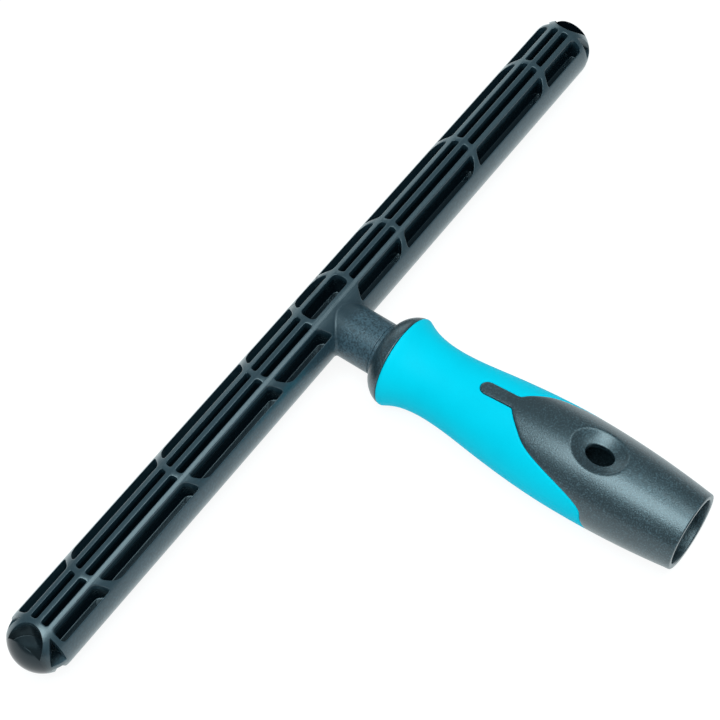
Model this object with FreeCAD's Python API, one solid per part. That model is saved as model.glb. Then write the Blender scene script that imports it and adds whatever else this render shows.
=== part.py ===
"""Window washer holder: a bare ribbed T-bar on an ergonomic two-part handle.

The tool is drawn about the middle of the bar: the bar runs along X, the handle
runs away from it along -Y and Z is up, the way the bar's mould opens. At the
end the origin moves to the table under the middle of the whole tool, with the
handle's belly on the table. All sizes are in millimetres.
"""
import FreeCAD, Part
import os
from math import cos, hypot, pi, sin, sqrt

Vec = FreeCAD.Vector

# Bar: a round bar of open ribs that carries the washing sleeve
bar_length = 352.0
bar_radius = 12.6
side_wall = 2.3
rib_pitch = 4.7
rib_thickness = 2.0
web_thickness = 2.2
bulkhead_thickness = 2.2

# Stations of the bulkheads, from the middle of the bar to their crowns
first_bulkhead = 12.3
neck_bay = 30.3
long_bay = 49.5
long_bay_count = 2
end_bulkhead = 2.4
end_inset = 10.2

# Domed ends: the two outer ribs flare out as fins, with a lipped recess between them
fin_flare_share = 0.6
recess_floor = 3.5
recess_end = 4.0
recess_corner = 1.6
lip_height = 7.0

# Neck: the stem that joins the bar to the handle, and its tang inside it
neck_radius = 10.7
neck_fillet = 2.5
neck_groove = 0.4
neck_groove_width = 1.6
neck_root_edge = 2.9
neck_seat = 5.5
tang_radius = 8.6
tang_flat = 7.4
tang_end = 76.0
snap_groove = 0.8
snap_width = 4.0
snap_inset = 9.0
fit_clearance = 0.15

# Handle: distances from the bar's axis and radii of the outer form
collar_start = 28.2
collar_crest = 36.6
collar_radius = 18.3
shoulder = 40.6
shoulder_radius = 16.4
throat = 46.0
throat_radius = 14.95
waist = 57.0
waist_radius = 14.4
swell = 76.0
swell_radius = 16.3
chest = 92.0
chest_radius = 17.87
belly = 111.0
belly_radius = 18.65
mouth = 160.0
mouth_radius = 15.3
mouth_round = 0.8

# Pole socket in the rear of the handle, with its dished lock hole on top
socket_radius = 13.0
socket_partition = 10.0
socket_cone_depth = 14.0
socket_cone_radius = 9.5
socket_chamfer = 0.7
socket_wall = 1.7
lock_hole = 120.5
lock_hole_length = 12.0
lock_hole_width = 8.4
dish_length = 22.4
dish_depth = 4.6

# Soft grip moulded over the front of the handle
grip_start = 35.6
grip_thickness = 2.4
seat_step = 78.0
grip_apex = 84.3
grip_tail = 128.0
tongue_start = 70.0
tongue_width = 5.8

# How far the grip's edge runs back from apex to tail, at equal steps from the top to the underside
grip_edge_shares = [0.0, 0.046, 0.16, 0.323, 0.652, 0.883, 0.924, 0.952, 0.975, 0.99, 1.0, 1.0, 1.0]

# How full the collar's nose stands, from a straight slope at 0 to nearly an ellipse at 0.55
nose_share = 0.45

# How far the tapers of a turned form may leave its smooth line
form_chord = 0.25

# Extra length of every cutting body
overrun = 3.0

wall_face = bar_radius - side_wall
cap_face = bar_length / 2 - end_inset
crowns = [first_bulkhead, first_bulkhead + neck_bay]
for _ in range(long_bay_count):
    crowns.append(crowns[-1] + long_bay)


def mirrored(shape, normal):
    """The same shape on the other side of a plane through the origin."""
    return shape.mirror(Vec(0, 0, 0), normal)


def cylinder_y(radius, near, far):
    """A round bar along the handle's axis, between two distances from the bar."""
    return Part.makeCylinder(radius, far - near, Vec(0, -near, 0), Vec(0, -1, 0))


def block(low, high):
    """A box between two corners."""
    size = high - low
    return Part.makeBox(size.x, size.y, size.z, low)


def bar_envelope():
    """The full round of the bar with its two domed ends."""
    straight = bar_length - 2 * bar_radius
    round_bar = Part.makeCylinder(bar_radius, straight, Vec(-straight / 2, 0, 0), Vec(1, 0, 0))
    ends = [Part.makeSphere(bar_radius, Vec(side * straight / 2, 0, 0)) for side in (-1, 1)]
    return round_bar.fuse(ends).removeSplitter()


def bow(crown, offset, across):
    """Where a bowed bulkhead's face lies along the bar, at a distance from its axis."""
    return crown - bar_radius + sqrt((bar_radius + offset) ** 2 - across ** 2)


def curved_edge(face, near, far):
    """An edge across the bar along a bulkhead's face, from one distance to another."""
    points = [Vec(face(y), y, 0) for y in (near, (near + far) / 2, far)]
    if points[0].x == points[1].x == points[2].x:
        return Part.makeLine(points[0], points[2])
    return Part.Arc(*points).toShape()


def slot(inner, outer, near, far, low, high):
    """An upright pocket between two bulkhead faces and two distances across the bar."""
    edges = [
        curved_edge(inner, near, far),
        Part.makeLine(Vec(inner(far), far, 0), Vec(outer(far), far, 0)),
        curved_edge(outer, far, near),
        Part.makeLine(Vec(outer(near), near, 0), Vec(inner(near), near, 0)),
    ]
    pocket = Part.Face(Part.Wire(edges)).extrude(Vec(0, 0, high - low))
    pocket.translate(Vec(0, 0, low))
    return pocket


def bay_slots(inner, outer):
    """The four slots of one bay, above the web."""
    half_rib = rib_thickness / 2
    floor = web_thickness / 2
    top = bar_radius + overrun
    slots = []
    for side in (-1, 1):
        middle = sorted((side * half_rib, side * (rib_pitch - half_rib)))
        edge = sorted((side * (rib_pitch + half_rib), side * wall_face))
        slots.append(slot(inner, outer, *middle, floor, top))
        slots.append(slot(inner, outer, *edge, floor, top))
    return slots


def bar_slots():
    """Every slot on the upper right quarter of the bar outside the neck."""
    half = bulkhead_thickness / 2
    end_face = cap_face - end_bulkhead
    slots = []
    for inner, outer in zip(crowns, crowns[1:] + [None]):
        near = lambda y, c=inner: bow(c, half, y)
        far = (lambda y, c=outer: bow(c, -half, y)) if outer else (lambda y: end_face)
        slots += bay_slots(near, far)
    return slots


def neck_slots():
    """The short slot and the wide window over the neck's root."""
    half = bulkhead_thickness / 2
    half_rib = rib_thickness / 2
    right = lambda y: bow(crowns[0], -half, y)
    left = lambda y: -right(y)
    floor = web_thickness / 2
    top = bar_radius + overrun
    return [
        slot(left, right, rib_pitch + half_rib, wall_face, floor, top),
        slot(left, right, -neck_root_edge, rib_pitch - half_rib, floor, top),
    ]


def upright_prism(corners, low, high):
    """An upright body over a closed row of corners in plan."""
    points = [Vec(x, y, low) for x, y in corners]
    return Part.Face(Part.makePolygon(points + points[:1])).extrude(Vec(0, 0, high - low))


def fan(near, end, low):
    """A space between the fins that widens toward the tip of the bar."""
    far = near + fin_flare_share * (end - cap_face)
    corners = [(cap_face, -near), (end, -far), (end, far), (cap_face, near)]
    return upright_prism(corners, low, bar_radius + overrun)


def end_pockets():
    """The open corners and the lipped recess of the right domed end, above the web."""
    half_rib = rib_thickness / 2
    tip = bar_length / 2 + overrun
    reach = bar_radius + overrun
    full = block(Vec(cap_face, -reach, web_thickness / 2), Vec(tip, reach, reach))
    corners = full.cut(fan(rib_pitch + half_rib, tip, 0))
    end = bar_length / 2 - recess_end
    recess = fan(rib_pitch - half_rib, end, recess_floor)
    boxes = [(e, e.BoundBox) for e in recess.Edges]
    front = [e for e, b in boxes if b.XMin > end - fit_clearance and b.YLength < fit_clearance]
    recess = recess.makeFillet(recess_corner, front)
    return corners.Solids + [recess, fan(rib_pitch - half_rib, tip, lip_height)]


def bar_with_neck():
    """The bar's full round grown into the neck, with a fillet round the root."""
    joined = bar_envelope().fuse(cylinder_y(neck_radius, 0, collar_start)).removeSplitter()
    root = []
    for edge in joined.Edges:
        middle = edge.valueAt((edge.FirstParameter + edge.LastParameter) / 2)
        on_bar = abs(hypot(middle.y, middle.z) - bar_radius) < fit_clearance
        on_neck = abs(hypot(middle.x, middle.z) - neck_radius) < fit_clearance
        if on_bar and on_neck:
            root.append(edge)
    return joined.makeFillet(neck_fillet, root)


def tang():
    """The end of the neck inside the handle: a seat, then a flatted stem with a snap groove."""
    seat = cylinder_y(neck_radius, collar_start - overrun, collar_start + neck_seat)
    stem = cylinder_y(tang_radius, collar_start, tang_end)
    reach = tang_end + overrun
    for side in (-1, 1):
        low, high = sorted((side * tang_flat, side * (tang_radius + overrun)))
        flat = block(Vec(low, -reach, -bar_radius), Vec(high, -collar_start - neck_seat, bar_radius))
        stem = stem.cut(flat)
    return seat.fuse(stem).cut(snap_ring(0))


def snap_ring(clearance):
    """The ring that fills the tang's snap groove, smaller by a clearance."""
    middle = tang_end - snap_inset
    half = snap_width / 2 - clearance
    outer = cylinder_y(tang_radius + overrun, middle - half, middle + half)
    inner = cylinder_y(tang_radius - snap_groove + clearance, middle - snap_width, middle + snap_width)
    return outer.cut(inner)


def t_bar():
    """The whole head moulding: ribbed bar, neck and tang in one piece."""
    groove_end = collar_start
    groove_start = groove_end - neck_groove_width
    groove = cylinder_y(neck_radius + overrun, groove_start, groove_end).cut(
        cylinder_y(neck_radius - neck_groove, groove_start - overrun, groove_end + overrun))
    body = bar_with_neck().fuse(tang()).cut(groove)
    quarter = bar_slots() + end_pockets()
    left = [mirrored(s, Vec(1, 0, 0)) for s in quarter]
    upper = quarter + left + neck_slots()
    lower = [mirrored(s, Vec(0, 0, 1)) for s in upper]
    return body.cut(upper + lower).removeSplitter()


def front_curve():
    """The smooth line of the handle's outer form, from the collar's crest to the belly."""
    stations = [
        (collar_crest, collar_radius),
        (shoulder, shoulder_radius),
        (throat, throat_radius),
        (waist, waist_radius),
        (swell, swell_radius),
        (chest, chest_radius),
        (belly, belly_radius),
    ]
    curve = Part.BSplineCurve()
    curve.interpolate([Vec(0, -y, r) for y, r in stations])
    return curve


def rear_curve():
    """The line of the handle behind the belly, which bends evenly down to the mouth."""
    end = mouth - mouth_round
    curve = Part.BezierCurve()
    curve.setPoles([
        Vec(0, -belly, belly_radius),
        Vec(0, -(belly + end) / 2, belly_radius),
        Vec(0, -end, mouth_radius),
    ])
    return curve


def turned(corners):
    """A solid of revolution about the handle's axis under a row of corners."""
    first, last = corners[0], corners[-1]
    foot = [Vec(0, last.y, 0), Vec(0, first.y, 0), first]
    return Part.Face(Part.makePolygon(corners + foot)).revolve(Vec(0, 0, 0), Vec(0, 1, 0), 360)


def tapers(curve):
    """The corners of straight tapers that keep close to a smooth line."""
    return curve.toShape().discretize(QuasiDeflection=form_chord)


def collar_curve():
    """The round nose of the handle, from the neck up to the collar's crest."""
    nose = Part.BezierCurve()
    rise = collar_radius - neck_radius
    run = collar_crest - collar_start
    nose.setPoles([
        Vec(0, -collar_start, neck_radius + fit_clearance),
        Vec(0, -collar_start, neck_radius + nose_share * rise),
        Vec(0, -collar_crest + nose_share * run, collar_radius),
        Vec(0, -collar_crest, collar_radius),
    ])
    return nose


def handle_form():
    """The outer form of the whole handle, as one solid."""
    corners = tapers(collar_curve()) + tapers(front_curve())[1:] + tapers(rear_curve())[1:]
    return turned(corners + [Vec(0, -mouth, mouth_radius - mouth_round)])


def grip_seat():
    """The hard core under the grip: a slim stem, then a step up round the pole socket."""
    stem = cylinder_y(waist_radius - grip_thickness, grip_start, seat_step)
    return stem.fuse(cylinder_y(socket_radius + socket_wall, seat_step, grip_tail + overrun))


def grip_edge():
    """The wavy rear edge of the grip as an upright wall all round the axis."""
    steps = len(grip_edge_shares) - 1
    around = grip_edge_shares[:-1] + grip_edge_shares[:0:-1]
    rails = []
    for radius in (tang_radius, belly_radius + overrun):
        points = []
        for i, share in enumerate(around):
            angle = i * pi / steps
            back = grip_apex + share * (grip_tail - grip_apex)
            points.append(Vec(radius * sin(angle), -back, radius * cos(angle)))
        rail = Part.BSplineCurve()
        rail.interpolate(points, PeriodicFlag=True)
        rails.append(rail.toShape())
    return Part.makeRuledSurface(*rails)


def tongue():
    """The strip of hard core that runs forward into the grip on top."""
    half = tongue_width / 2
    nose = Vec(0, -tongue_start - half, 0)
    strip = block(Vec(-half, -belly, 0), Vec(half, nose.y, belly_radius + overrun))
    return strip.fuse(Part.makeCylinder(half, belly_radius + overrun, nose))


def grip(form):
    """The soft grip: the handle's skin from the collar back to its wavy edge."""
    skin = form.cut([grip_seat(), cylinder_y(collar_radius + overrun, 0, grip_start)])
    pieces, _ = skin.generalFuse([grip_edge()])
    front = max(pieces.Solids, key=lambda piece: piece.CenterOfMass.y)
    return front.cut(tongue())


def socket():
    """The space for a pole: a straight bore, a cone at its end and a chamfered mouth."""
    bore_end = tang_end + socket_partition + socket_cone_depth
    cone = Part.makeCone(socket_radius, socket_cone_radius, socket_cone_depth,
                         Vec(0, -bore_end, 0), Vec(0, 1, 0))
    chamfer = Part.makeCone(socket_radius, socket_radius + socket_chamfer, socket_chamfer,
                            Vec(0, -mouth + socket_chamfer, 0), Vec(0, -1, 0))
    return cylinder_y(socket_radius, bore_end, mouth + overrun).fuse([cone, chamfer])


def dish_and_hole():
    """The round dish on top of the belly and the oval hole from it into the socket."""
    half = dish_length / 2
    ball_radius = (half ** 2 + dish_depth ** 2) / (2 * dish_depth)
    ball_height = belly_radius - dish_depth + ball_radius
    ball = Part.makeSphere(ball_radius, Vec(0, -lock_hole, ball_height))
    oval = Part.Ellipse(Vec(0, 0, 0), lock_hole_length / 2, lock_hole_width / 2).toShape()
    hole = Part.Face(Part.Wire(oval)).extrude(Vec(0, 0, ball_height))
    hole.rotate(Vec(0, 0, 0), Vec(0, 0, 1), 90)
    hole.translate(Vec(0, -lock_hole, 0))
    return ball.fuse(hole)


def tang_space():
    """Room in the handle for the neck's end, with the ring that snaps into its groove."""
    gap = fit_clearance
    seat = cylinder_y(neck_radius + gap, 0, collar_start + neck_seat + gap)
    stem = cylinder_y(tang_radius + gap, 0, tang_end + gap)
    for side in (-1, 1):
        low, high = sorted((side * (tang_flat + gap), side * (tang_radius + overrun)))
        flat = block(Vec(low, -tang_end - overrun, -bar_radius), Vec(high, 0, bar_radius))
        stem = stem.cut(flat)
    return seat.fuse(stem).cut(snap_ring(gap))


def handle_core(form, soft):
    """The hard core: the handle's form less grip, socket, lock hole and tang."""
    return form.cut([soft, socket(), dish_and_hole(), tang_space()])


def set_down(shape):
    """The shape with the origin on the table, under the middle of the whole tool."""
    shape.translate(Vec(0, (mouth - bar_radius) / 2, belly_radius))
    return shape


os.makedirs("parts", exist_ok=True)
form = handle_form()
soft = grip(form)
nodes = {
    "t_bar": t_bar(),
    "handle_core": handle_core(form, soft),
    "grip_sleeve": soft,
}
for name, shape in nodes.items():
    set_down(shape).exportStep(f"parts/{name}.step")
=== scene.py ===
"""Looks of the window washer T-bar, in metres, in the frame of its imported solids."""
from math import asin, cos, pi, radians, sin, sqrt

import bmesh
import bpy
import numpy as np
from mathutils import Matrix, Vector
from mathutils.geometry import delaunay_2d_cdt
from mathutils.kdtree import KDTree


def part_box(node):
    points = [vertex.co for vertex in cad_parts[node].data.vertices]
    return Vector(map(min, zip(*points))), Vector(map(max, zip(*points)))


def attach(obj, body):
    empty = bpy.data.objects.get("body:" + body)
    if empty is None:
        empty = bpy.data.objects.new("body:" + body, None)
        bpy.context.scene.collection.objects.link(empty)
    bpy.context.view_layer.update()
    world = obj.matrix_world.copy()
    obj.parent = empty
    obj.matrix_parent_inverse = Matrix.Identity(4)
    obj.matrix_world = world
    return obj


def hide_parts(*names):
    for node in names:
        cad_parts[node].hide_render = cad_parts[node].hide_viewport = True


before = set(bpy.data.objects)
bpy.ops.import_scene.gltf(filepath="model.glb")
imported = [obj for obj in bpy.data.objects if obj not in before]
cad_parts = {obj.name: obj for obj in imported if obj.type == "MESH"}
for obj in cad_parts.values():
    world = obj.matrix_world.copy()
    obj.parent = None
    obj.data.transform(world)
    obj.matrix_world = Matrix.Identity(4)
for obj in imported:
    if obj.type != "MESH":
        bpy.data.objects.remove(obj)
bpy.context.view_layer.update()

# Sizes are millimetres in the tool's own frame: x along the bar, z up from the bar's axis.
# "Along" is the distance from the bar's axis towards the socket's mouth, which is minus y.
MM = 0.001
WELD, SAME_POINT = 0.002, 1e-4

# The bar, its bulkheads on each side of the middle, and its slots on each side of the axis.
BAR_HALF, BAR_RADIUS, WEB_HALF = 176.0, 12.6, 1.1
BAR_POINTS, DOME_ROWS, DOME_TIP = 192, 33, 0.02
BULKHEADS, BULKHEAD_HALF = (12.3, 42.6, 92.1, 141.6), 1.1
SLOT_SIDES, MIDDLE_SLOT = ((1.0, 3.7), (5.7, 10.3)), (-2.9, 3.7)
SLOT_CORNERS, SLOT_RIM, SLOT_FOOT, SLOT_ABOVE = (0.9, 1.6), 0.35, 0.5, 1.2
CORNER_POINTS, FOOT_ROWS, RIM_ROWS = 7, 4, 5

# The bar's ends: the last slots' flat face, the fins, the pocket between them, and room for the cutters.
FLAT_END, CAP_FACE, FIN_SIDE, FIN_SLOPE = 163.4, 165.4, 6.5, 0.65
POCKET_END, POCKET_RADIUS, POCKET_FLOOR, POCKET_POINTS = 172.4, 7.1, 1.6, 49
PAST_END, PAST_SIDE, PAST_TOP = 190.0, 30.0, 20.0

# The neck: its side line from inside the collar to its root, and its hidden foot in the bar.
NECK_RADIUS, NECK_FILLET, GROOVE_RADIUS = 10.7, 1.2, 10.3
NECK_POINTS, FILLET_ROWS, ROOT_STEP = 160, 10, 0.3
NECK_LINE = ((33.5, NECK_RADIUS), (28.2, NECK_RADIUS), (28.1, GROOVE_RADIUS), (26.7, GROOVE_RADIUS),
             (26.6, 10.6), (26.45, NECK_RADIUS), (26.3, NECK_RADIUS), (26.0, NECK_RADIUS))
NECK_FOOT = (2.0, 7.0)

# The handle's side line, as lengths along it and radii: collar, waist and rear.
COLLAR_START, COLLAR_BORE, COLLAR_DEPTH = 28.2, 10.85, 5.8
COLLAR_CURVE = ((COLLAR_START, COLLAR_BORE), (COLLAR_START, 14.12), (32.82, 18.3), (36.6, 18.3))
WAIST_ALONG = (36.6, 40.6, 46.0, 57.0, 76.0, 92.0, 111.0)
WAIST_RADII = (18.3, 16.4, 14.95, 14.4, 16.3, 17.87, 18.65)
WAIST_ROWS = np.arange(36.8, 111.0, 0.2)
REAR_CURVE = ((111.0, 18.65), (135.1, 18.65), (159.2, 15.3))
COLLAR_POINTS, REAR_POINTS = 80, 240

# The grip with the tongue in it. For each step round the handle from its top, the shares say how far
# the grip's rear edge has come from its apex to its tail.
GRIP_START, GRIP_APEX, GRIP_TAIL, GRIP_THICKNESS = 35.6, 84.3, 128.0, 1.2
EDGE_STEPS = 24
EDGE_SHARES = np.array((0, 0.046, 0.16, 0.323, 0.652, 0.883, 0.924, 0.952, 0.975, 0.99, 1, 1, 1))
EDGE_POINTS, EDGE_FINE, EDGE_SPACING, EDGE_SMOOTHING = 300, 0.3, 0.45, 10
TONGUE_START, TONGUE_HALF, TONGUE_NOSE_POINTS, TONGUE_SIDE_POINTS = 70.0, 2.9, 16, 40
JOINT_HALF = 0.05

# The core: the stem under the grip, the pole socket and its mouth, the lock hole in its dish.
STEM_STEP, STEM_RADIUS, SEAT_RADIUS, NOSE_ROOM = 66.0, 12.0, 13.6, 0.8
MOUTH, LIP, LIP_ROWS = 160.0, 0.6, 7
SOCKET_RADIUS, SOCKET_END, CONE_END, CONE_RADIUS = 13.0, 100.0, 86.0, 9.5
MOUTH_BEND = ((0.08, 0.3), (0.3, 0.08), (0.7, 0.0))
LOCK_HOLE, HOLE_LONG, HOLE_WIDE, HOLE_POINTS, HOLE_ROUNDING = 120.5, 5.6, 3.9, 72, 0.6
HOLE_SEARCH = 9.0
DISH_RADIUS, DISH_HEIGHT, DISH_BLEND = 15.93, 29.98, 0.7

# The flat pattern that is rolled round the handle: across is an angle times the roll's radius.
# The grids are rows of points between its lines, with a finer one round the dish.
ROLL = 17.0
SEAM = pi * ROLL
COLUMNS = np.linspace(-SEAM, SEAM, 113)
GRID, GRID_ROOM, SEAM_ROOM, GRIP_MARGIN, REAR_MARGIN = 0.9, 0.6, 0.4, 1.2, 0.8
SOCKET_GRID, SEAT_GRID, SEAT_ROOM = 1.5, 2.0, 0.9
DISH_GRID, DISH_ROOM = np.arange(-12.4, 12.5, 0.45), 0.35
DISH_ACROSS, DISH_ALONG = 12.5, 12.6

# A rounded edge in steps: distance from the edge and drop below the surface.
ROUNDED = ((0.0, 0.41), (0.09, 0.21), (0.25, 0.07), (0.5, 0.0))

# Where the bar's finish changes: start and length of each fade, in metres. The slot fade also paints shade
# into the slots.
SLOT_SHADE_AND_DULL_FADE, NECK_FADE = (1.2 * MM, 3 * MM), (-10 * MM, -6 * MM)
FILLET_RISE, FILLET_FALL = (-0.21 * MM, 0.3 * MM), (1.3 * MM, -0.8 * MM)

# The table's size in metres and the colour of the light.
TABLE_HALF = 12.0
COOL_WHITE = (0.84, 0.97, 1.0)


class Value:
    """One output of a node, which takes part in plain arithmetic."""

    def __init__(self, nodes, socket):
        self.nodes, self.socket = nodes, socket

    def __getitem__(self, name):
        return Value(self.nodes, self.socket.node.outputs[name])

    def clamped(self):
        return self.nodes.add("ShaderNodeClamp", None, {"Value": self})

    def root(self):
        return self.nodes.math("SQRT", self)

    def __add__(self, other):
        return self.nodes.math("ADD", self, other)

    def __sub__(self, other):
        return self.nodes.math("SUBTRACT", self, other)

    def __rsub__(self, other):
        return self.nodes.math("SUBTRACT", other, self)

    def __mul__(self, other):
        return self.nodes.math("MULTIPLY", self, other)

    def __truediv__(self, other):
        return self.nodes.math("DIVIDE", self, other)

    __radd__ = __add__
    __rmul__ = __mul__


class Nodes:
    """A node tree that is written as calls and expressions."""

    def __init__(self, tree):
        self.tree = tree
        tree.nodes.clear()

    def add(self, kind, settings=None, sockets=None):
        """A new node: first its settings, then the values or links of its sockets."""
        node = self.tree.nodes.new(kind)
        for name, setting in (settings or {}).items():
            setattr(node, name, setting)
        for name, value in (sockets or {}).items():
            if isinstance(value, (Value, list)):
                for one in value if isinstance(value, list) else [value]:
                    self.tree.links.new(one.socket, node.inputs[name])
            else:
                node.inputs[name].default_value = value
        return Value(self, node.outputs[0]) if node.outputs else None

    def math(self, operation, *terms):
        """The result of one operation on values or numbers."""
        return self.add("ShaderNodeMath", {"operation": operation}, dict(enumerate(terms)))

    def ramp(self, value, *stops):
        """A colour that follows a value through stops of place and colour."""
        colour = self.add("ShaderNodeValToRGB", None, {0: value})
        elements = colour.socket.node.color_ramp.elements
        while len(elements) < len(stops):
            elements.new(1.0)
        for element, (place, shade) in zip(elements, stops):
            element.position, element.color = place, shade + (1,)
        return colour

    def grain(self, size, detail=2.0):
        """Fine noise over the piece, with grains of a size in metres."""
        place = self.add("ShaderNodeTexCoord")["Object"]
        return self.add("ShaderNodeTexNoise", None, {
            "Vector": place, "Scale": 1.0 / size, "Detail": detail, "Roughness": 0.55})["Fac"]


def placed(name, data):
    """A new object in the scene."""
    piece = bpy.data.objects.new(name, data)
    bpy.context.scene.collection.objects.link(piece)
    return piece


def applied(holder):
    """A new mesh of an object, with its modifiers applied."""
    return bpy.data.meshes.new_from_object(holder.evaluated_get(bpy.context.evaluated_depsgraph_get()))


def bar_axis():
    """The middle of the bar's axis in the frame, in metres."""
    low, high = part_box("t_bar")
    return Vector((0.0, high.y - BAR_RADIUS * MM, (low.z + high.z) / 2))


# Finishes.


def shader(name):
    """A new material and its empty tree."""
    material = bpy.data.materials.new(name)
    material.use_nodes = True
    return material, Nodes(material.node_tree)


def fade(value, start, length):
    """A share that leaves 0 at a start and reaches 1 a length later; a negative length leads downwards."""
    return ((value - start) / length).clamped()


def spark_skin(nodes, colour, rough, bumped, specular, gloss):
    """The surface of hard plastic from a spark-eroded mould, with its moulding gloss as a coat."""
    skin = nodes.add("ShaderNodeBsdfPrincipled", None, {
        "Base Color": colour, "Roughness": rough, "Normal": bumped,
        "Specular IOR Level": specular, "Specular Tint": (0.74, 0.92, 1.0, 1),
        "Coat Weight": gloss, "Coat Roughness": 0.3, "Coat IOR": 1.5, "Coat Tint": (0.78, 0.97, 1.0, 1)})
    nodes.add("ShaderNodeOutputMaterial", None, {"Surface": skin})


def bar_finish():
    """Satin black of the bar, with painted shade deep in its slots, which also lose their gloss; paler and
    sparked on its neck.
    """
    material, nodes = shader("bar satin black")
    axis = bar_axis()
    place = nodes.add("ShaderNodeSeparateXYZ", None, {"Vector": nodes.add("ShaderNodeTexCoord")["Object"]})
    across, height = place["Y"] - axis.y, place["Z"] - axis.z
    depth = BAR_RADIUS * MM - (across * across + height * height).root()
    from_neck = (place["X"] * place["X"] + height * height).root() - NECK_RADIUS * MM
    # The slot mask grows with depth into the slots; it paints shade there and takes away the gloss.
    slot, neck = fade(depth, *SLOT_SHADE_AND_DULL_FADE), fade(across, *NECK_FADE)
    fillet = fade(from_neck, *FILLET_RISE) * fade(from_neck, *FILLET_FALL) * (1 - neck)

    cloud, fine = nodes.grain(30 * MM), nodes.grain(0.8 * MM, 3.0)
    # Minus slot * 0.5 is painted shade deep in the slots, down to the ramp's darkest stop.
    shade = 0.2 + cloud * 0.2 + fine * 0.4 - slot * 0.5 + neck * (fine * 2.4 - 0.9)
    colour = nodes.ramp(shade, (0.1, (0.002, 0.006, 0.009)), (0.4, (0.01, 0.023, 0.032)),
                        (0.6, (0.018, 0.034, 0.046)), (1.0, (0.045, 0.08, 0.104)))
    rounded = nodes.add("ShaderNodeBevel", {"samples": 6}, {"Radius": 0.3 * MM})
    bumped = nodes.add("ShaderNodeBump", None, {
        "Strength": 0.6, "Distance": 0.06 * MM, "Height": fine * (1 + neck * 5 - slot), "Normal": rounded})
    rough = 0.3 + cloud * 0.08 + neck * 0.1 - slot * 0.16 + fillet * 0.1
    gloss = (1 - slot) * (1 - neck * 0.5) * (1 - fillet * 0.8)
    spark_skin(nodes, colour, rough, bumped, specular=0.5, gloss=gloss)
    return material


def handle_finish():
    """Sparked black of the handle's hard core, with small paler specks."""
    material, nodes = shader("handle spark black")
    cloud, fine = nodes.grain(30 * MM), nodes.grain(0.6 * MM, 3.0)
    colour = nodes.ramp(cloud * 0.2 + fine * 0.8, (0.48, (0.0, 0.005, 0.009)), (0.68, (0.05, 0.08, 0.098)))
    bumped = nodes.add("ShaderNodeBump", None, {"Strength": 0.7, "Distance": 0.16 * MM, "Height": fine})
    spark_skin(nodes, colour, 0.36 + cloud * 0.1, bumped, specular=1.0, gloss=0.6)
    return material


def grip_finish():
    """Smooth soft rubber in sky blue, a little cloudy."""
    material, nodes = shader("grip sky rubber")
    cloud, fine = nodes.grain(25 * MM), nodes.grain(0.5 * MM)
    colour = nodes.ramp(cloud * 0.7 + fine * 0.3, (0.35, (0.0, 0.54, 0.71)), (0.65, (0.0, 0.585, 0.757)))
    bumped = nodes.add("ShaderNodeBump", None, {"Strength": 0.25, "Distance": 0.03 * MM, "Height": fine})
    skin = nodes.add("ShaderNodeBsdfPrincipled", None, {
        "Base Color": colour, "Roughness": 0.5 + (fine - 0.5) * 0.1, "Normal": bumped,
        "Specular IOR Level": 0.03})
    nodes.add("ShaderNodeOutputMaterial", None, {"Surface": skin})
    return material


def table_finish():
    """White table that keeps a weak shadow and shows as white in pictures and in gloss."""
    material, nodes = shader("white table")
    path = nodes.add("ShaderNodeLightPath")
    seen = nodes.math("MAXIMUM", path["Is Camera Ray"], path["Is Glossy Ray"])
    seen = nodes.math("MAXIMUM", seen, path["Is Transmission Ray"])
    paper = nodes.ramp(nodes.grain(50 * MM), (0.3, (0.86, 0.86, 0.86)), (0.7, (0.9, 0.9, 0.9)))
    plain = nodes.add("ShaderNodeBsdfDiffuse", None, {"Color": paper})
    weak = nodes.add("ShaderNodeBsdfDiffuse", None, {"Color": (0.18, 0.18, 0.18, 1)})
    glow = nodes.add("ShaderNodeEmission", None, {"Color": (1, 1, 1, 1), "Strength": 0.88})
    white = nodes.add("ShaderNodeAddShader", None, {0: weak, 1: glow})
    both = nodes.add("ShaderNodeMixShader", None, {0: seen, 1: plain, 2: white})
    nodes.add("ShaderNodeOutputMaterial", None, {"Surface": both})
    return material


# Meshes.


def welded(mesh):
    """The same mesh with doubled points joined, no slivers or loose points, and faces to the outside."""
    work = bmesh.new()
    work.from_mesh(mesh)
    bmesh.ops.remove_doubles(work, verts=work.verts, dist=WELD)
    bmesh.ops.dissolve_degenerate(work, edges=work.edges, dist=WELD)
    bmesh.ops.delete(work, geom=[v for v in work.verts if not v.link_faces], context="VERTS")
    bmesh.ops.recalc_face_normals(work, faces=work.faces)
    work.to_mesh(mesh)
    work.free()
    return mesh


class Shape:
    """Points and faces of one piece, in millimetres."""

    def __init__(self):
        self.points, self.faces = [], []

    def add(self, points, faces):
        """More points, and faces over them."""
        first = len(self.points)
        self.points += [tuple(p) for p in points]
        self.faces += [[first + i for i in face] for face in faces]

    def rows(self, rows, closed=True):
        """A skin over rows of points, each row a ring or an open line."""
        count = len(rows[0])
        faces = []
        for k in range(len(rows) - 1):
            for i in range(count if closed else count - 1):
                j = (i + 1) % count
                faces.append((k * count + i, k * count + j, (k + 1) * count + j, (k + 1) * count + i))
        self.add([p for row in rows for p in row], faces)

    def cap(self, row):
        """A flat face inside a ring."""
        self.add(row, [range(len(row))])

    def tube(self, rows):
        """A skin over rings with a cap at both ends."""
        self.rows(rows)
        self.cap(rows[0])
        self.cap(rows[-1])

    def mesh(self, name):
        """A mesh of the shape with welded points and faces to the outside."""
        made = bpy.data.meshes.new(name)
        made.from_pydata(self.points, [], self.faces)
        return welded(made)


def turns(count):
    """Even angles round a circle."""
    return [i * 2 * pi / count for i in range(count)]


def ring(along, reach, angles=COLUMNS[:-1] / ROLL):
    """Points round the handle's axis, by themselves on the columns of the flat pattern."""
    return [(reach * sin(angle), -along, reach * cos(angle)) for angle in angles]


# The handle's form.


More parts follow.
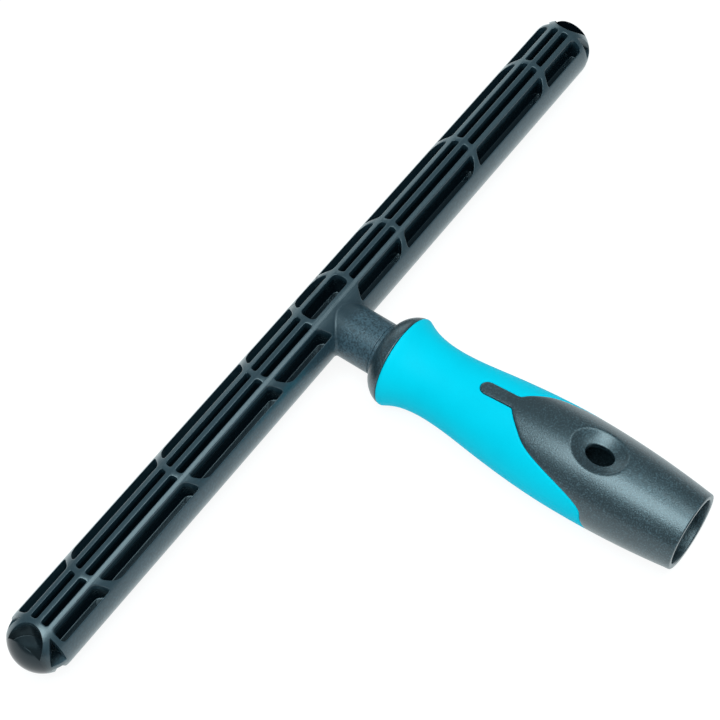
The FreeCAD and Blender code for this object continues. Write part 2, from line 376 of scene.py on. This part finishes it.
def cubic(xs, ys, wanted, level_end=False):
    """Values of the smooth line through some points, which may end level."""
    xs, ys = np.array(xs, float), np.array(ys, float)
    gap, rise = np.diff(xs), np.diff(ys)
    system, target = np.zeros((len(xs), len(xs))), np.zeros(len(xs))
    system[0, :2], target[0] = (2, 1), 3 * rise[0] / gap[0]
    for i in range(1, len(xs) - 1):
        system[i, i - 1:i + 2] = 1 / gap[i - 1], 2 / gap[i - 1] + 2 / gap[i], 1 / gap[i]
        target[i] = 3 * (rise[i - 1] / gap[i - 1] ** 2 + rise[i] / gap[i] ** 2)
    if level_end:
        system[-1, -1] = 1
    else:
        system[-1, -2:], target[-1] = (1, 2), 3 * rise[-1] / gap[-1]
    slope = np.linalg.solve(system, target)
    i = np.clip(np.searchsorted(xs, wanted) - 1, 0, len(xs) - 2)
    t = (wanted - xs[i]) / gap[i]
    bend = gap[i] * t * (1 - t) * (slope[i] * (1 - t) - slope[i + 1] * t)
    return ys[i] * (1 + 2 * t) * (1 - t) ** 2 + ys[i + 1] * t * t * (3 - 2 * t) + bend


def bezier(points, count):
    """Points along the curve of some control points."""
    t = np.linspace(0, 1, count)[:, None]
    points = [np.array(point) for point in points]
    while len(points) > 1:
        points = [(1 - t) * a + t * b for a, b in zip(points, points[1:])]
    return points[0]


def handle_form():
    """The handle's side line: lengths along it and the radius there."""
    waist = cubic(WAIST_ALONG, WAIST_RADII, WAIST_ROWS, level_end=True)
    return np.vstack((bezier(COLLAR_CURVE, COLLAR_POINTS), np.column_stack((WAIST_ROWS, waist)),
                      bezier(REAR_CURVE, REAR_POINTS)))


FORM = handle_form()


def radius(along):
    """The handle's radius at a length along it."""
    return np.interp(along, FORM[:, 0], FORM[:, 1])


# Lines and sheets of the flat pattern.


def resampled(line, step):
    """The same line with points at an even step."""
    run = np.concatenate(([0], np.cumsum(np.hypot(*np.diff(line, axis=0).T))))
    at = np.linspace(0, run[-1], int(run[-1] / step) + 1)
    return np.column_stack([np.interp(at, run, line[:, i]) for i in (0, 1)])


def grip_edge(angle):
    """Where the grip's rear edge lies along the handle, without the tongue, at angles from the top."""
    steps = np.arange(-3 * EDGE_STEPS // 2, 3 * EDGE_STEPS // 2 + 1)
    turned = abs(steps) % EDGE_STEPS
    shares = EDGE_SHARES[np.minimum(turned, EDGE_STEPS - turned)]
    return cubic(steps * 2 * pi / EDGE_STEPS, GRIP_APEX + (GRIP_TAIL - GRIP_APEX) * shares, angle)


def border():
    """Line between grip and core in the flat pattern, from the underside round to the underside."""
    join = GRIP_APEX
    # The tongue's sides meet the edge at an angle that depends on the radius there.
    for _ in range(8):
        corner = np.arcsin(TONGUE_HALF / radius(join))
        join = grip_edge(np.array([corner]))[0]
    nose = np.linspace(0, pi / 2, TONGUE_NOSE_POINTS)
    side = np.linspace(TONGUE_START + TONGUE_HALF, join, TONGUE_SIDE_POINTS + 1)[1:]
    across = np.concatenate((TONGUE_HALF * np.sin(nose), np.full(TONGUE_SIDE_POINTS, TONGUE_HALF)))
    along = np.concatenate((TONGUE_START + TONGUE_HALF * (1 - np.cos(nose)), side))
    angle = np.linspace(corner, pi, EDGE_POINTS)[1:]
    half = np.vstack((np.column_stack((ROLL * np.arcsin(across / radius(along)), along)),
                      np.column_stack((ROLL * angle, grip_edge(angle)))))
    line = resampled(np.vstack((half[:0:-1] * (-1, 1), half)), EDGE_FINE)
    for _ in range(EDGE_SMOOTHING):
        line[1:-1] = (line[:-2] + 2 * line[1:-1] + line[2:]) / 4
    return resampled(line, EDGE_SPACING)


BORDER = border()


def moved(line, distance):
    """A line moved sideways, to the mouth's side where the distance is positive."""
    way = np.gradient(line, axis=0)
    way /= np.hypot(*way.T)[:, None]
    out = line + distance * np.column_stack((-way[:, 1], way[:, 0]))
    out[(0, -1), 0] = -SEAM, SEAM
    out[(0, -1), 1] = line[0, 1] + distance
    return out


def level(along):
    """A straight line across the pattern."""
    return np.column_stack((COLUMNS, np.full(len(COLUMNS), along)))


def at_drop(line, drop=0.0):
    """The points of a line as (across, along, drop below the surface)."""
    return [(u, v, drop) for u, v in line]


def rounded_lines(line_at, share=1.0):
    """The lines of a rounded edge, plain and with their drops; line_at gives the line at a distance."""
    lines = [line_at(share * distance) for distance, _ in ROUNDED]
    return lines, [at_drop(line, share * drop) for line, (_, drop) in zip(lines, ROUNDED)]


def lattice(rows, lines, room, columns=COLUMNS[1:-1]):
    """Grid points that keep clear of some lines."""
    marks = np.vstack(lines)
    tree = KDTree(len(marks))
    for i, (u, v) in enumerate(marks):
        tree.insert((u, v, 0), i)
    tree.balance()
    return [(u, v, 0.0) for u in columns for v in rows if tree.find((u, v, 0))[2] > room]


def everywhere(point):
    """The test of a sheet without holes."""
    return True


def sheet(low, high, lines, points, keep=everywhere):
    """Points and triangles of the pattern between two lines, where the middle of a triangle passes a test."""
    seam = [(SEAM, v, 0.0) for v in np.arange(low[-1][1] + GRID, high[-1][1] - SEAM_ROOM, GRID)]
    outline = low + seam + high[::-1] + [(-u, v, d) for u, v, d in seam[::-1]] + low[:1]
    knots, edges = [], []
    for line in [outline] + lines:
        edges += [(len(knots) + i, len(knots) + i + 1) for i in range(len(line) - 1)]
        knots += line
    knots += points
    places = [Vector(knot[:2]) for knot in knots]
    flat, _, faces, sources, _, _ = delaunay_2d_cdt(places, edges, [], 1, SAME_POINT)
    drops = [max([knots[i][2] for i in source], default=0.0) for source in sources]
    faces = [f for f in faces if keep(sum((flat[i] for i in f), Vector((0, 0))) / 3)]
    return [(p.x, p.y, d) for p, d in zip(flat, drops)], faces


def rolled(places, reach=None):
    """The flat pattern wrapped round the handle, on its form or on a plain radius."""
    out = []
    for u, v, drop in places:
        r = (radius(v) if reach is None else reach) - drop
        out.append((r * sin(u / ROLL), -v, r * cos(u / ROLL)))
    return out


def dished(places):
    """The rear skin wrapped round the handle, with the dish pressed into its top."""
    out = []
    for u, v, drop in places:
        r, turn = radius(v), u / ROLL
        x, z = r * sin(turn), r * cos(turn)
        room = DISH_RADIUS ** 2 - x * x - (v - LOCK_HOLE) ** 2
        if z > 0 and room > 0:
            bowl = DISH_HEIGHT - sqrt(room)
            share = min(max(0.5 + (bowl - z) / (2 * DISH_BLEND), 0), 1)
            z = bowl + (z - bowl) * share - DISH_BLEND * share * (1 - share) - drop
        else:
            x, z = (r - drop) * sin(turn), (r - drop) * cos(turn)
        out.append((x, -v, z))
    return out


def hole_ring(grow, reach=None):
    """The lock hole's oval in the flat pattern, a closed line."""
    out = []
    for i in range(HOLE_POINTS + 1):
        turn = i * 2 * pi / HOLE_POINTS
        v = LOCK_HOLE + (HOLE_LONG + grow) * sin(turn)
        x = (HOLE_WIDE + grow) * cos(turn)
        out.append((ROLL * asin(x / (radius(v) if reach is None else reach)), v))
    return np.array(out)


def outside_hole(point, reach=None):
    """Whether a point of the pattern lies outside the lock hole."""
    r = radius(point.y) if reach is None else reach
    x = r * sin(point.x / ROLL)
    far = abs(point.x) > HOLE_SEARCH
    return far or (x / HOLE_WIDE) ** 2 + ((point.y - LOCK_HOLE) / HOLE_LONG) ** 2 > 1


# The grip and the core.


def grip_shape():
    """Outer skin of the soft grip, with rounded edges."""
    front, front_edge = rounded_lines(lambda d: level(GRIP_START + JOINT_HALF + d))
    rear, rear_edge = rounded_lines(lambda d: moved(BORDER, -JOINT_HALF - d))
    rows = np.arange(GRIP_START + GRIP_MARGIN, GRIP_TAIL, GRID)
    body = lattice(rows, (front[-1], rear[-1], rear[0]), GRID_ROOM)
    places, faces = sheet(front_edge[0], rear_edge[0], front_edge[1:] + rear_edge[1:], body)
    shape = Shape()
    shape.add(rolled(places), faces)
    return shape


def add_rear(shape, front, front_edge):
    """The rear body's skin with tongue and dish, the socket's wall, and the lock hole between them."""
    holes, pits = rounded_lines(hole_ring, HOLE_ROUNDING)
    last = MOUTH - LIP
    lines = (front[-1], front[0], holes[-1])
    rows = np.arange(TONGUE_START + REAR_MARGIN, last - SEAM_ROOM, GRID)
    body = [(u, v, drop) for u, v, drop in lattice(rows, lines, GRID_ROOM)
            if abs(u) >= DISH_ACROSS or abs(v - LOCK_HOLE) >= DISH_ALONG]
    body += lattice(LOCK_HOLE + DISH_GRID, lines, DISH_ROOM, DISH_GRID)
    places, faces = sheet(front_edge[0], at_drop(level(last)), front_edge[1:] + pits, body, outside_hole)
    shape.add(dished(places), faces)

    pit = hole_ring(0.0, SOCKET_RADIUS)
    rows = np.arange(SOCKET_END + SOCKET_GRID, MOUTH - SOCKET_GRID, SOCKET_GRID)
    body = lattice(rows, (pit,), GRID_ROOM)
    inner = at_drop(level(MOUTH - MOUTH_BEND[-1][0]))
    places, faces = sheet(at_drop(level(SOCKET_END)), inner, [at_drop(pit)], body,
                          lambda p: outside_hole(p, SOCKET_RADIUS))
    shape.add(rolled(places, SOCKET_RADIUS), faces)
    shape.rows([dished(pits[0])[:-1], rolled(at_drop(pit), SOCKET_RADIUS)[:-1]])


def add_mouth(shape):
    """The rounded rim of the mouth, and the cone and floor at the socket's inner end."""
    last = MOUTH - LIP
    rim = radius(last) - LIP
    bend = [(last + LIP * sin(a), rim + LIP * cos(a)) for a in np.linspace(0, pi / 2, LIP_ROWS)]
    bend += [(MOUTH - inward, SOCKET_RADIUS + rise) for inward, rise in MOUTH_BEND]
    shape.rows([ring(*step) for step in bend])
    shape.rows([ring(SOCKET_END, SOCKET_RADIUS), ring(CONE_END, CONE_RADIUS)])
    shape.cap(ring(CONE_END, CONE_RADIUS))


def add_stem(shape, front, front_edge):
    """The seat under the grip, the stem, the collar and its bore for the neck."""
    wall = at_drop(front[0])
    body = lattice(np.arange(STEM_STEP + SEAT_GRID, GRIP_TAIL, SEAT_GRID), (front[0],), SEAT_ROOM)
    places, faces = sheet(at_drop(level(STEM_STEP)), wall, [], body)
    shape.add(rolled(places, SEAT_RADIUS), faces)
    shape.rows([rolled(front_edge[0]), rolled(wall, SEAT_RADIUS)], closed=False)

    back = GRIP_START - JOINT_HALF
    stem = [(STEM_STEP, SEAT_RADIUS), (STEM_STEP, STEM_RADIUS), (back, STEM_RADIUS)]
    edge = [(back - d, radius(back - d) - drop) for d, drop in ROUNDED]
    nose = [tuple(p) for p in FORM[::-1] if COLLAR_START <= p[0] < GRIP_START - NOSE_ROOM][::2]
    bore = [(COLLAR_START, COLLAR_BORE), (COLLAR_START + COLLAR_DEPTH, COLLAR_BORE)]
    shape.rows([ring(*p) for p in stem + edge + nose + bore])
    shape.cap(ring(*bore[-1]))


def core_shape():
    """The hard core: collar, stem, rear body with tongue and dish, socket and lock hole."""
    shape = Shape()
    front, front_edge = rounded_lines(lambda d: moved(BORDER, JOINT_HALF + d))
    add_rear(shape, front, front_edge)
    add_mouth(shape)
    add_stem(shape, front, front_edge)
    return shape


def thickened(shape, name, thickness):
    """A closed mesh of a skin and its offset to the inside."""
    holder = placed(name, shape.mesh(name))
    modifier = holder.modifiers.new("thickness", "SOLIDIFY")
    modifier.thickness, modifier.offset = thickness, -1.0
    solid = applied(holder)
    bpy.data.objects.remove(holder)
    return solid


# The ribbed bar.


def bar_shape():
    """The plain round bar with its domed ends."""
    middle = BAR_HALF - BAR_RADIUS
    rise = np.linspace(0, pi / 2, DOME_ROWS)[:-1]
    dome = [(middle + BAR_RADIUS * sin(a), BAR_RADIUS * cos(a)) for a in rise] + [(BAR_HALF, DOME_TIP)]
    steps = [(-x, r) for x, r in dome[::-1]] + dome
    shape = Shape()
    shape.tube([[(x, r * sin(angle), r * cos(angle)) for angle in turns(BAR_POINTS)] for x, r in steps])
    return shape


def neck_shape():
    """The neck with the groove before the collar and the fillet at its root."""
    angles, centre = turns(NECK_POINTS), NECK_RADIUS + NECK_FILLET
    rows = [ring(along, reach, angles) for along, reach in NECK_LINE]
    # Two straight rows lead to the fillet, which turns from the neck's side to the bar's.
    for k in range(-2, FILLET_ROWS):
        row = []
        for angle in angles:
            x, z = centre * sin(angle), centre * cos(angle)
            y = -sqrt((BAR_RADIUS + NECK_FILLET) ** 2 - z * z)
            first = Vector((-sin(angle), 0, -cos(angle)))
            last = Vector((0, -y, -z)).normalized()
            way = first.slerp(last, max(k, 0) / (FILLET_ROWS - 1))
            row.append(Vector((x, y + ROOT_STEP * min(k, 0), z)) + NECK_FILLET * way)
        rows.append(row)
    rows.append(ring(*NECK_FOOT, angles))
    shape = Shape()
    shape.tube(rows)
    return shape


def mark(mesh, name, numbers):
    """A named number for each point of a mesh."""
    mesh.attributes.new(name, "FLOAT", "POINT").data.foreach_set("value", numbers)


def slot_points():
    """One point for each slot of the upper side, with the ends and sides of that slot as attributes."""
    # An end is its half of the bar, its crown, its face's step from the bulkhead's middle, and its bow.
    slots = []
    bays = list(zip(BULKHEADS, BULKHEADS[1:])) + [(BULKHEADS[-1], FLAT_END)]
    for start, end in bays:
        first = (start, BULKHEAD_HALF, 1.0)
        last = (end, 0.0, 0.0) if end == FLAT_END else (end, -BULKHEAD_HALF, 1.0)
        for (low, high), corner in zip(SLOT_SIDES, SLOT_CORNERS):
            for side in ((low, high, corner), (-high, -low, corner)):
                slots.append(((1.0,) + first, (1.0,) + last, side))
                slots.append(((-1.0,) + last, (-1.0,) + first, side))
    middle = (BULKHEADS[0], -BULKHEAD_HALF, 1.0)
    for side in (MIDDLE_SLOT, SLOT_SIDES[1]):
        slots.append(((-1.0,) + middle, (1.0,) + middle, side + SLOT_CORNERS[1:]))
    mesh = bpy.data.meshes.new("slot points")
    mesh.from_pydata([(0, 0, 0)] * len(slots), [], [])
    for i, end in enumerate(("left", "right")):
        for j, name in enumerate(("hand", "crown", "step", "bow")):
            mark(mesh, f"{end} {name}", [slot[i][j] for slot in slots])
    for j, name in enumerate(("low", "high", "corner")):
        mark(mesh, name, [slot[2][j] for slot in slots])
    return mesh


def slot_pattern():
    """One slot's cutter as rings of points: which corner each keeps to, how far out, and how deep."""
    columns = []
    for right, upper, start in ((1, -1, -90), (1, 1, 0), (-1, 1, 90), (-1, -1, 180)):
        arc = [(right, upper, cos(radians(a)), sin(radians(a)))
               for a in np.linspace(start, start + 90, CORNER_POINTS)]
        between = [(right, share, float(right), 0.0) for share in (-0.5 * right, 0.0, 0.5 * right)]
        columns += arc + (between if upper == -right else [])
    foot = [(SLOT_FOOT * (cos(a) - 1), SLOT_FOOT * (1 - sin(a)), 1.0)
            for a in np.linspace(pi / 2, 0, FOOT_ROWS)]
    rim = [(SLOT_RIM * (1 - cos(a)), -SLOT_RIM * (1 - sin(a)), 0.0)
           for a in np.linspace(0, pi / 2, RIM_ROWS)]
    rings = foot + rim + [(SLOT_RIM, SLOT_ABOVE, 0.0)]
    count = len(columns)
    shape = Shape()
    shape.rows([[(c[0] * (2 + r[0]), c[1] * (1 + r[0]), k) for c in columns] for k, r in enumerate(rings)])
    faces = shape.faces + [list(range(count))[::-1], [count * (len(rings) - 1) + i for i in range(count)]]
    mesh = bpy.data.meshes.new("slot pattern")
    mesh.from_pydata(shape.points, [], faces)
    for i, name in enumerate(("end", "side", "out x", "out y")):
        mark(mesh, name, [column[i] for column in columns] * len(rings))
    for i, name in enumerate(("grow", "lift", "deep")):
        mark(mesh, name, [one[i] for one in rings for _ in columns])
    return mesh


def prism(shape, outline, low, high):
    """An upright block over an outline, between two heights."""
    shape.tube([[(x, y, low) for x, y in outline], [(x, y, high) for x, y in outline]])


def end_cutters():
    """The corners beside the fins and the round pocket between them, at both ends."""
    corners, pockets = Shape(), Shape()
    corner = [(CAP_FACE, FIN_SIDE), (PAST_END, FIN_SIDE + FIN_SLOPE * (PAST_END - CAP_FACE)),
              (PAST_END, PAST_SIDE), (CAP_FACE, PAST_SIDE)]
    pocket = [(POCKET_END - POCKET_RADIUS * cos(a), POCKET_RADIUS * sin(a))
              for a in np.linspace(-pi / 2, pi / 2, POCKET_POINTS)]
    for hand in (1, -1):
        for up in (1, -1):
            for side in (1, -1):
                prism(corners, [(hand * x, side * y) for x, y in corner], up * WEB_HALF, up * PAST_TOP)
            prism(pockets, [(hand * x, y) for x, y in pocket], up * POCKET_FLOOR, up * PAST_TOP)
    return corners, pockets


def bar_tree(helpers, material):
    """Tree that joins bar and neck, bends the slot pattern to each slot and cuts them all."""
    tree = bpy.data.node_groups.new("ribbed bar", "GeometryNodeTree")
    nodes = Nodes(tree)
    tree.interface.new_socket("Geometry", in_out="INPUT", socket_type="NodeSocketGeometry")
    for name in ("Bar radius", "Web half"):
        tree.interface.new_socket(name, in_out="INPUT", socket_type="NodeSocketFloat")
    tree.interface.new_socket("Geometry", in_out="OUTPUT", socket_type="NodeSocketGeometry")
    given = nodes.add("NodeGroupInput")
    bar_radius, web = given["Bar radius"], given["Web half"]

    def named(name):
        return nodes.add("GeometryNodeInputNamedAttribute", {"data_type": "FLOAT"}, {"Name": name})

    def shown(name):
        return nodes.add("GeometryNodeObjectInfo", None, {"Object": helpers[name]})["Geometry"]

    def of_end(name):
        return named("left " + name) * (1 - right) + named("right " + name) * right

    cutters = nodes.add("GeometryNodeInstanceOnPoints", None, {
        "Points": shown("slots"), "Instance": shown("pattern")})
    cutters = nodes.add("GeometryNodeRealizeInstances", None, {"Geometry": cutters})
    end, lift, corner, deep = named("end"), named("lift"), named("corner"), named("deep")
    reach = corner + named("grow")
    half = (named("high") - named("low")) / 2
    y = (named("high") + named("low")) / 2 + named("side") * (half - corner) + reach * named("out y")
    right = (end + 1) / 2
    shell = bar_radius + of_end("step")
    bow = (shell * shell - y * y).root() - bar_radius
    face = of_end("hand") * (of_end("crown") + of_end("bow") * bow)
    x = face - end * corner + reach * named("out x")
    skin = (bar_radius * bar_radius - y * y).root()
    z = deep * (web + lift) + (1 - deep) * (skin + lift)
    place = nodes.add("ShaderNodeCombineXYZ", None, {"X": x, "Y": y, "Z": z})
    upper = nodes.add("GeometryNodeSetPosition", None, {"Geometry": cutters, "Position": place})
    lower = nodes.add("GeometryNodeTransform", None, {"Geometry": upper, "Scale": (1, 1, -1)})
    lower = nodes.add("GeometryNodeFlipFaces", None, {"Mesh": lower})
    both = nodes.add("GeometryNodeJoinGeometry", None, {"Geometry": [upper, lower]})
    whole = nodes.add("GeometryNodeMeshBoolean", {"operation": "UNION", "solver": "MANIFOLD"},
                      {"Mesh 2": [given, shown("neck")]})
    cut = nodes.add("GeometryNodeMeshBoolean", {"operation": "DIFFERENCE", "solver": "MANIFOLD"},
                    {"Mesh 1": whole, "Mesh 2": [both, shown("corners"), shown("pockets")]})
    cut = nodes.add("GeometryNodeTriangulate", None, {"Mesh": cut})
    done = nodes.add("GeometryNodeRealizeInstances", None, {"Geometry": cut})
    done = nodes.add("GeometryNodeSetMaterial", None, {"Geometry": done, "Material": material})
    nodes.add("NodeGroupOutput", None, {"Geometry": done})
    return tree


def ribbed_bar(material):
    """The bar's finished mesh."""
    meshes = {"slots": slot_points(), "pattern": slot_pattern(), "neck": neck_shape().mesh("neck")}
    for name, shape in zip(("corners", "pockets"), end_cutters()):
        meshes[name] = shape.mesh(name)
    helpers = {name: placed(name, mesh) for name, mesh in meshes.items()}
    body = placed("plain bar", bar_shape().mesh("plain bar"))
    tree = bar_tree(helpers, material)
    modifier = body.modifiers.new("ribbed bar", "NODES")
    modifier.node_group = tree
    sizes = {"Bar radius": BAR_RADIUS, "Web half": WEB_HALF}
    for socket in tree.interface.items_tree:
        if socket.name in sizes:
            modifier[socket.identifier] = sizes[socket.name]
    mesh = applied(body)
    for helper in list(helpers.values()) + [body]:
        bpy.data.objects.remove(helper)
    return welded(mesh)


# The pieces.


def settle(name, mesh, node, sharp):
    """A finished piece at its place in the frame, standing for a CAD node."""
    mesh.transform(Matrix.Translation(bar_axis()) @ Matrix.Scale(MM, 4))
    mesh.shade_smooth()
    mesh.set_sharp_from_angle(angle=radians(sharp))
    mesh.name = name
    piece = placed(name, mesh)
    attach(piece, "root")
    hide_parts(node)


bar_mesh = ribbed_bar(bar_finish())
settle("ribbed_bar", bar_mesh, "t_bar", sharp=40)
core_mesh = core_shape().mesh("handle_body")
core_mesh.materials.append(handle_finish())
settle("handle_body", core_mesh, "handle_core", sharp=40)
grip_mesh = thickened(grip_shape(), "soft_grip", GRIP_THICKNESS)
grip_mesh.materials.append(grip_finish())
settle("soft_grip", grip_mesh, "grip_sleeve", sharp=50)


# The table, the light and the camera.
table_mesh = bpy.data.meshes.new("table")
table_corners = [(x * TABLE_HALF, y * TABLE_HALF, 0) for x, y in ((-1, -1), (1, -1), (1, 1), (-1, 1))]
table_mesh.from_pydata(table_corners, [], [(0, 1, 2, 3)])
table_mesh.materials.append(table_finish())
floor = placed("table", table_mesh)


def softbox(name, place, aim, size, power):
    """A square studio lamp that looks at a point."""
    lamp = bpy.data.lights.new(name, "AREA")
    lamp.size, lamp.energy, lamp.color = size, power, COOL_WHITE
    holder = placed(name, lamp)
    holder.location = place
    holder.rotation_euler = (Vector(aim) - Vector(place)).to_track_quat("-Z", "Y").to_euler()


softbox("softbox over the handle", (-0.35, -0.07, 0.98), (0, -0.07, 0.02), size=0.65, power=9.0)
softbox("softbox over the bar", (0.48, -0.60, 1.81), (-0.1, 0.07, 0.02), size=0.7, power=8.0)
softbox("far panel", (1.02, 1.29, 0.55), (0.1, 0.07, 0.02), size=1.0, power=3.0)

world = bpy.data.worlds.new("studio")
bpy.context.scene.world = world
world.use_nodes = True
air = Nodes(world.node_tree)
glow = air.add("ShaderNodeBackground", None, {"Color": COOL_WHITE + (1,), "Strength": 0.36})
air.add("ShaderNodeOutputWorld", None, {"Surface": glow})

camera = bpy.data.cameras.new("camera")
camera.lens, camera.sensor_width = 98.295, 36.0
right, up = Vector((0.5845, -0.8113, -0.0106)), Vector((0.6825, 0.4846, 0.5471))
view = Matrix((right, up, right.cross(up))).transposed().to_4x4()
view.translation = (-0.330872, -0.188679, 0.633170)
stand = placed("camera", camera)
stand.matrix_world = view
bpy.context.scene.camera = stand
bpy.context.scene.view_settings.view_transform = "Standard"
